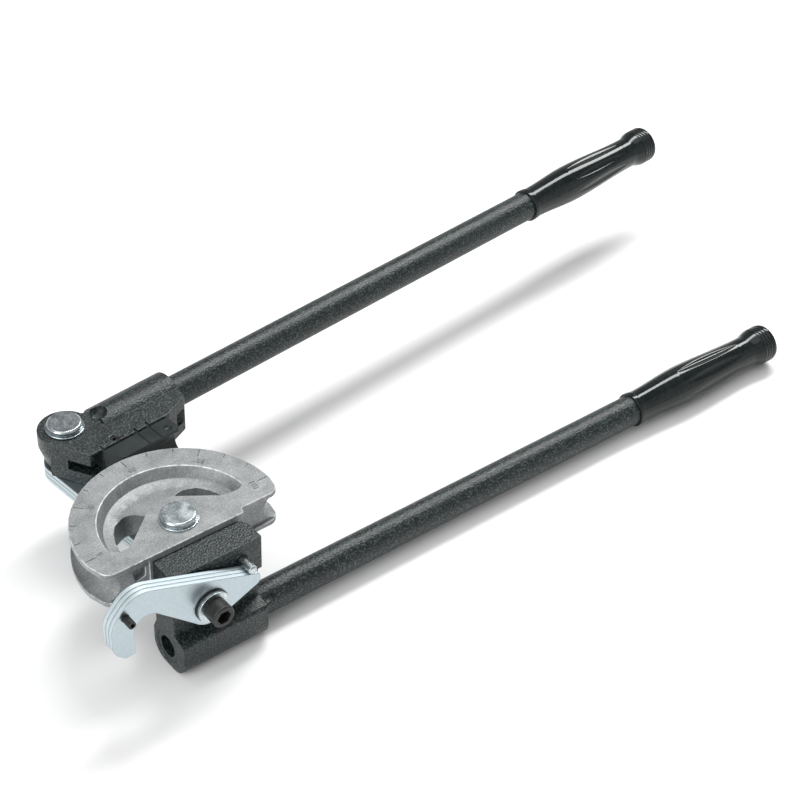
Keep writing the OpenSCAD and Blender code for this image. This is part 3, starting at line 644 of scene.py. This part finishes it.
# The die's colour is darkened by that attribute: painted shade, with dirt.
tree = cast_alloy.node_tree
alloy_colour = tree.nodes["Principled BSDF"].inputs["Base Color"]
recess_shade_and_dirt = add(tree, "ShaderNodeAttribute", attribute_name="recess_shade_and_dirt")
shade_and_dirt_share = maths(tree, "MULTIPLY", recess_shade_and_dirt.outputs["Fac"], SHADE_AND_DIRT_SHARE)
shaded_and_dirty = blend_colour(tree, shade_and_dirt_share, alloy_colour.links[0].from_socket, SHADE_AND_DIRT, "shaded_and_dirty")
tree.links.new(shaded_and_dirty, alloy_colour)
print("dirt in", sum(1 for value in shade_and_dirt.data if value.value), "points")

# %% [markdown]
# ## Plates, pins and tubes
#
# The stamped plates, the turned pins and the small fasteners are the same copies with
# thinner bevels. Primitives could stand for the pins, but the copies keep every seat and
# bore where the CAD model has it. A drawn tube has no edge that shows, so it is only merged.

# %% Soften the plates, pins and tubes
PLATE_EDGE, PIN_EDGE = 0.5 * MM, 0.3 * MM
for node in ("hook_plate_back", "hook_plate_middle", "hook_plate_front"):
    softened(node, PLATE_EDGE, material=hook_zinc)
for node in ("link_plate_top", "link_plate_middle", "link_plate_bottom"):
    softened(node, PLATE_EDGE, material=link_zinc)
for node in (
        "die_pin", "head_pin", "die_pin_washer", "head_pin_washer", "hook_washer", "hook_back_washer",
        "hook_spring_washer", "hook_sleeve", "hook_screw", "hook_stop_pin", "hook_lift_pin", "shoe_pin",
        "die_pin_clip", "head_pin_clip"):
    softened(node, PIN_EDGE)
for node in ("lower_tube", "upper_tube"):
    softened(node, 0)

# %% [markdown]
# ## Moulded grips
#
# Each grip is a moulded sleeve: a collar at the tube, a palm swell with eight long flutes,
# a thin neck and four rings at the flared end. A grip could be carved from a cylinder with
# a boolean, but that leaves messy faces that spoil a glossy surface. Here half of its
# outline is spun round the tube's axis, and then the rows of vertices beside each flute
# are combed together and sunk, so that the flute's edges run along the mesh.

# %% Swell and flare of a grip
GRIP_L, COLLAR_L, FLARE_L, END_T = 159 * MM, 5 * MM, 26 * MM, 6 * MM
BORE_R, COLLAR_R, NECK_R, SWELL_R = 12.72 * MM, 14.5 * MM, 13.8 * MM, 16.5 * MM
RINGS, RING_ROOM, RING_R = 4, 4 * MM, 16.25 * MM
COLLAR_STEP, SWELL_AT, FLARE_INTO_RING = 1 * MM, 0.42, 0.6
body_from = COLLAR_L + COLLAR_STEP
body_to = GRIP_L - FLARE_L
rings_from = GRIP_L - RINGS * RING_ROOM
flare_to = rings_from + FLARE_INTO_RING * RING_ROOM


def swell_radius(x):
    """Rises in a wave from the collar to the palm and falls back to the neck."""
    t = (x - body_from) / (body_to - body_from)
    wave = t / SWELL_AT if t < SWELL_AT else 1 + (t - SWELL_AT) / (1 - SWELL_AT)
    return NECK_R + (SWELL_R - NECK_R) * (0.5 - 0.5 * math.cos(math.pi * wave))


def flare_radius(x):
    """Eases from the neck out to the rings."""
    t = min((x - body_to) / (flare_to - body_to), 1)
    return NECK_R + (RING_R - NECK_R) * t * t * (3 - 2 * t)


print("grip body from", round(body_from / MM), "to", round(body_to / MM), "mm")

# %% Outline of a grip
BODY_ROWS, FLARE_ROWS = 64, 8
RING_PITCH = 0.82 * RING_ROOM
# Along each ring: share of the pitch, and how many mm the surface dips there
RING_DIPS = ((0.06, 0.45), (0.12, 0.6), (0.2, 0.45), (0.27, 0.1), (0.5, -0.08), (0.75, -0.05), (0.95, 0.1))
DOME_DROP, END_FACE_R = 3.5 * MM, 6 * MM


def after(start, end, count):
    """Places that step evenly from start to end, without start itself."""
    return [start + (end - start) * i / count for i in range(1, count + 1)]


outline = [
    (GRIP_L - END_T, 0), (GRIP_L - END_T, BORE_R), (0, BORE_R),
    (0, COLLAR_R - 0.4 * MM), (0.4 * MM, COLLAR_R), (COLLAR_L - 0.6 * MM, COLLAR_R),
    (COLLAR_L - 0.1 * MM, COLLAR_R - 0.3 * MM), (COLLAR_L + 0.1 * MM, NECK_R + 0.1 * MM),
    (body_from, NECK_R)]
outline += [(x, swell_radius(x)) for x in after(body_from, body_to, BODY_ROWS)]
outline += [(x, flare_radius(x)) for x in after(body_to, rings_from, FLARE_ROWS)]
for ring in range(RINGS):
    for share, dip in RING_DIPS:
        x = rings_from + RING_PITCH * (ring + share)
        outline.append((x, flare_radius(x) - dip * MM))
dome_from = rings_from + RING_PITCH * RINGS
for angle in range(10, 91, 10):
    turn = math.radians(angle)
    x = dome_from + (GRIP_L - dome_from) * math.sin(turn)
    outline.append((x, RING_R - DOME_DROP * (1 - math.cos(turn))))
outline += [(GRIP_L, END_FACE_R), (GRIP_L, 0)]
print("grip outline:", len(outline), "points")

# %% Comb the flutes
FLUTES, STEPS = 8, 12
FLUTE_AT, FLUTE_HALF, FLUTE_W, FLUTE_DEPTH = 86 * MM, 36 * MM, 3.5 * MM, 1.5 * MM
FLUTE_TIP, FLUTE_TAPER, SKIN = 0.25 * MM, 0.8, 0.5 * MM


def comb_flutes(bm):
    """Gathers the rows beside each flute and sinks those inside it."""
    pitch = 2 * math.pi / FLUTES
    inner = STEPS / 4
    for vert in bm.verts:
        radius = math.hypot(vert.co.y, vert.co.z)
        reach = 1 - ((vert.co.x - FLUTE_AT) / FLUTE_HALF) ** 2
        if reach <= 0 or radius < BORE_R + SKIN:
            continue
        angle = math.atan2(vert.co.y, vert.co.z)
        middle = round(angle / pitch) * pitch
        row = (angle - middle) / pitch * STEPS
        half = max(FLUTE_W * reach ** FLUTE_TAPER, FLUTE_TIP) / radius
        if abs(row) <= inner:
            turned = row / inner * half
            radius -= FLUTE_DEPTH * reach * (1 - (row / inner) ** 2)
        else:
            turned = math.copysign(half + (abs(row) - inner) / inner * (pitch / 2 - half), row)
        vert.co.y = radius * math.sin(middle + turned)
        vert.co.z = radius * math.cos(middle + turned)


print("flutes:", FLUTES, "of", round(2 * FLUTE_HALF / MM), "mm")

# %% Spin the outline and place both grips
LEVER_TURN, LEVER_REACH, TUBE_INSET = math.radians(5.5), 495 * MM, 5 * MM


def mould_grip(node, place):
    """Spins the outline, combs its flutes and puts the grip on its tube."""
    bm = bmesh.new()
    points = [bm.verts.new((x, 0, r)) for x, r in outline]
    edges = [bm.edges.new(pair) for pair in zip(points, points[1:])]
    bmesh.ops.spin(
        bm, geom=points + edges, cent=(0, 0, 0), axis=(1, 0, 0), dvec=(0, 0, 0), angle=2 * math.pi,
        steps=FLUTES * STEPS, use_merge=True, use_duplicate=False)
    bmesh.ops.remove_doubles(bm, verts=bm.verts, dist=MERGE)
    bmesh.ops.recalc_face_normals(bm, faces=bm.faces)
    comb_flutes(bm)
    bmesh.ops.transform(bm, matrix=place, verts=bm.verts)
    piece = settle(bm, node + "_dressed", node)
    print(f"{node}: {len(piece.data.polygons)} faces")


grip_low, grip_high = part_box("lower_grip")
mould_grip("lower_grip", Matrix.Translation((grip_low.x, 0, (grip_low.z + grip_high.z) / 2)))
at_lever = Matrix.Translation(joint_at["lever_pivot"]) @ Matrix.Rotation(LEVER_TURN, 4, "Z")
mould_grip("upper_grip", at_lever @ Matrix.Translation((LEVER_REACH, -TUBE_INSET, 0)))

# %% [markdown]
# ## Numbers on the dial
#
# The die's top is a dial: short marks every 15 degrees and a number at every long mark.
# The marks are cut in the CAD model. The numbers are cast a little proud of the surface.
# They could be a bump, but the exported mesh would lose them, so they are text turned
# into a mesh, laid flat and turned to face outwards.

# %% Cast the numbers
NUMBER_SIZE, NUMBER_RELIEF, NUMBER_BEVEL = 6.2 * MM, 0.4 * MM, 0.08 * MM
NUMBER_R, NUMBER_LAG = 63.6 * MM, 1.5
NUMBER_STEP, HALF_TURN = 45, 180
upright = Matrix.Translation((NUMBER_R, 0, 0)) @ Matrix.Rotation(math.radians(-90), 4, "Z")
on_axis = Matrix.Translation(BEND_AXIS + Vector((0, 0, DIE_TOP)))

numbers = bmesh.new()
for degrees in range(0, HALF_TURN + 1, NUMBER_STEP):
    text = bpy.data.curves.new("dial_number", "FONT")
    text.body = str(degrees)
    text.size = NUMBER_SIZE
    text.extrude = NUMBER_RELIEF
    text.bevel_depth = NUMBER_BEVEL
    text.align_x = "CENTER"
    text.align_y = "CENTER"
    text_object = bpy.data.objects.new("dial_number", text)
    show(text_object)
    bpy.context.view_layer.update()
    shaped = text_object.evaluated_get(bpy.context.evaluated_depsgraph_get())
    flat = bpy.data.meshes.new_from_object(shaped)
    bpy.data.objects.remove(text_object)
    to_mark = Matrix.Rotation(math.radians(HALF_TURN - degrees - NUMBER_LAG), 4, "Z")
    flat.transform(on_axis @ to_mark @ upright)
    numbers.from_mesh(flat)
bmesh.ops.remove_doubles(numbers, verts=numbers.verts, dist=MERGE)
print("numbers:", HALF_TURN // NUMBER_STEP + 1, "on the dial")

# %% Finish the numbers, with painted shade and dirt at their feet
number_mesh = bpy.data.meshes.new("dial_numbers")
numbers.to_mesh(number_mesh)
numbers.free()
number_mesh.materials.append(cast_alloy)
shade_and_dirt = number_mesh.attributes.new("recess_shade_and_dirt", "FLOAT", "POINT")
# Painted shade and dirt at the numbers' feet: every point below the die's top.
for vert, value in zip(number_mesh.vertices, shade_and_dirt.data):
    value.value = float(vert.co.z < DIE_TOP)
dial_numbers = bpy.data.objects.new("dial_numbers", number_mesh)
show(dial_numbers)
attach(dial_numbers, "frame")
print("dial numbers:", len(number_mesh.polygons), "faces")
